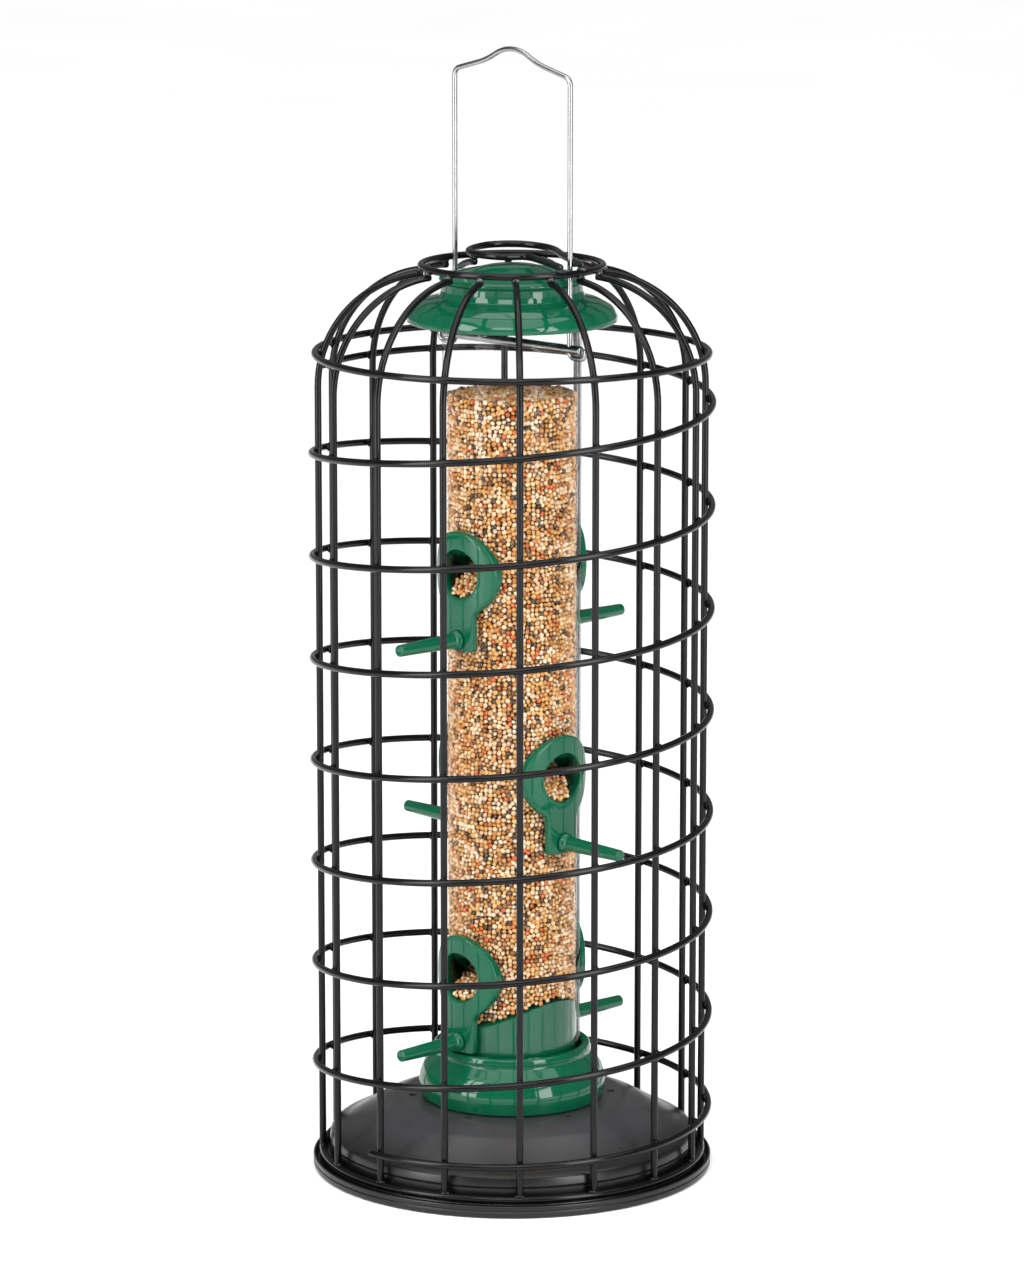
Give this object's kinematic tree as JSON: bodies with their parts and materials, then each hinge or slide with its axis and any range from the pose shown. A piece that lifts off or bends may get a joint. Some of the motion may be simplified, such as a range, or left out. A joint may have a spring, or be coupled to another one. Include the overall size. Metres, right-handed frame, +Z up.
{
  "type": "caged bird feeder",
  "caption": "Hanging seed feeder: a clear tube with ports and perches under a sliding lid, in a wire cage that stands in a drip tray.",
  "frame": {"origin": "on the ground under the tube's axis, at the tray's bottom rim", "axes": "+Z up along the tube's axis, -Y the side of one middle port, the other middle port at +Y, the other four ports at -X and +X"},
  "size_m": [0.1797, 0.1795, 0.5014],
  "materials": {
    "cage_wire": "satin black coating",
    "tray_paint": "satin black paint",
    "green_plastic": "gloss moulding",
    "clear_plastic": "clear, slightly milky tube",
    "seed_mix": "loose mixed seed",
    "bright_wire": "bright zinc plated wire",
    "bolt_steel": "zinc plated"
  },
  "bodies": {
    "feeder": {"tray": "tray_paint", "tray_bolt": "bolt_steel", "tray_washer": "bolt_steel", "tray_nut": "bolt_steel", "base_cup": "green_plastic", "baffle": "green_plastic", "port_low_left": "green_plastic", "port_low_right": "green_plastic", "port_mid_front": "green_plastic", "port_mid_back": "green_plastic", "port_top_left": "green_plastic", "port_top_right": "green_plastic", "perch_low_left": "green_plastic", "perch_low_right": "green_plastic", "perch_mid_front": "green_plastic", "perch_mid_back": "green_plastic", "perch_top_left": "green_plastic", "perch_top_right": "green_plastic", "seed_tube": "clear_plastic", "seed_fill": "seed_mix", "cross_rod": "bright_wire", "bail": "bright_wire"},
    "cage": {"cage_bar_01": "cage_wire", "cage_bar_02": "cage_wire", "cage_bar_03": "cage_wire", "cage_bar_04": "cage_wire", "cage_bar_05": "cage_wire", "cage_bar_06": "cage_wire", "cage_bar_07": "cage_wire", "cage_bar_08": "cage_wire", "cage_bar_09": "cage_wire", "cage_bar_10": "cage_wire", "cage_bar_11": "cage_wire", "cage_bar_12": "cage_wire", "cage_bar_13": "cage_wire", "cage_bar_14": "cage_wire", "cage_bar_15": "cage_wire", "cage_bar_16": "cage_wire", "spiral_turn_1": "cage_wire", "spiral_turn_2": "cage_wire", "spiral_turn_3": "cage_wire", "spiral_turn_4": "cage_wire", "spiral_turn_5": "cage_wire", "spiral_turn_6": "cage_wire", "spiral_turn_7": "cage_wire", "spiral_turn_8": "cage_wire", "base_ring": "cage_wire", "shoulder_ring": "cage_wire", "collar_ring": "cage_wire", "top_loop": "cage_wire"},
    "lid": {"lid": "green_plastic"}
  },
  "joints": [
    {"name": "cage_lift", "type": "slide", "parent": "feeder", "child": "cage", "axis": [0, 0, 1], "range_m": [0, 0.075]},
    {"name": "lid_lift", "type": "slide", "parent": "feeder", "child": "lid", "axis": [0, 0, 1], "range_m": [0, 0.0675]}
  ],
  "couplings": [
    {"joint": "lid_lift", "follows": "cage_lift", "ratio": 0.9}
  ]
}
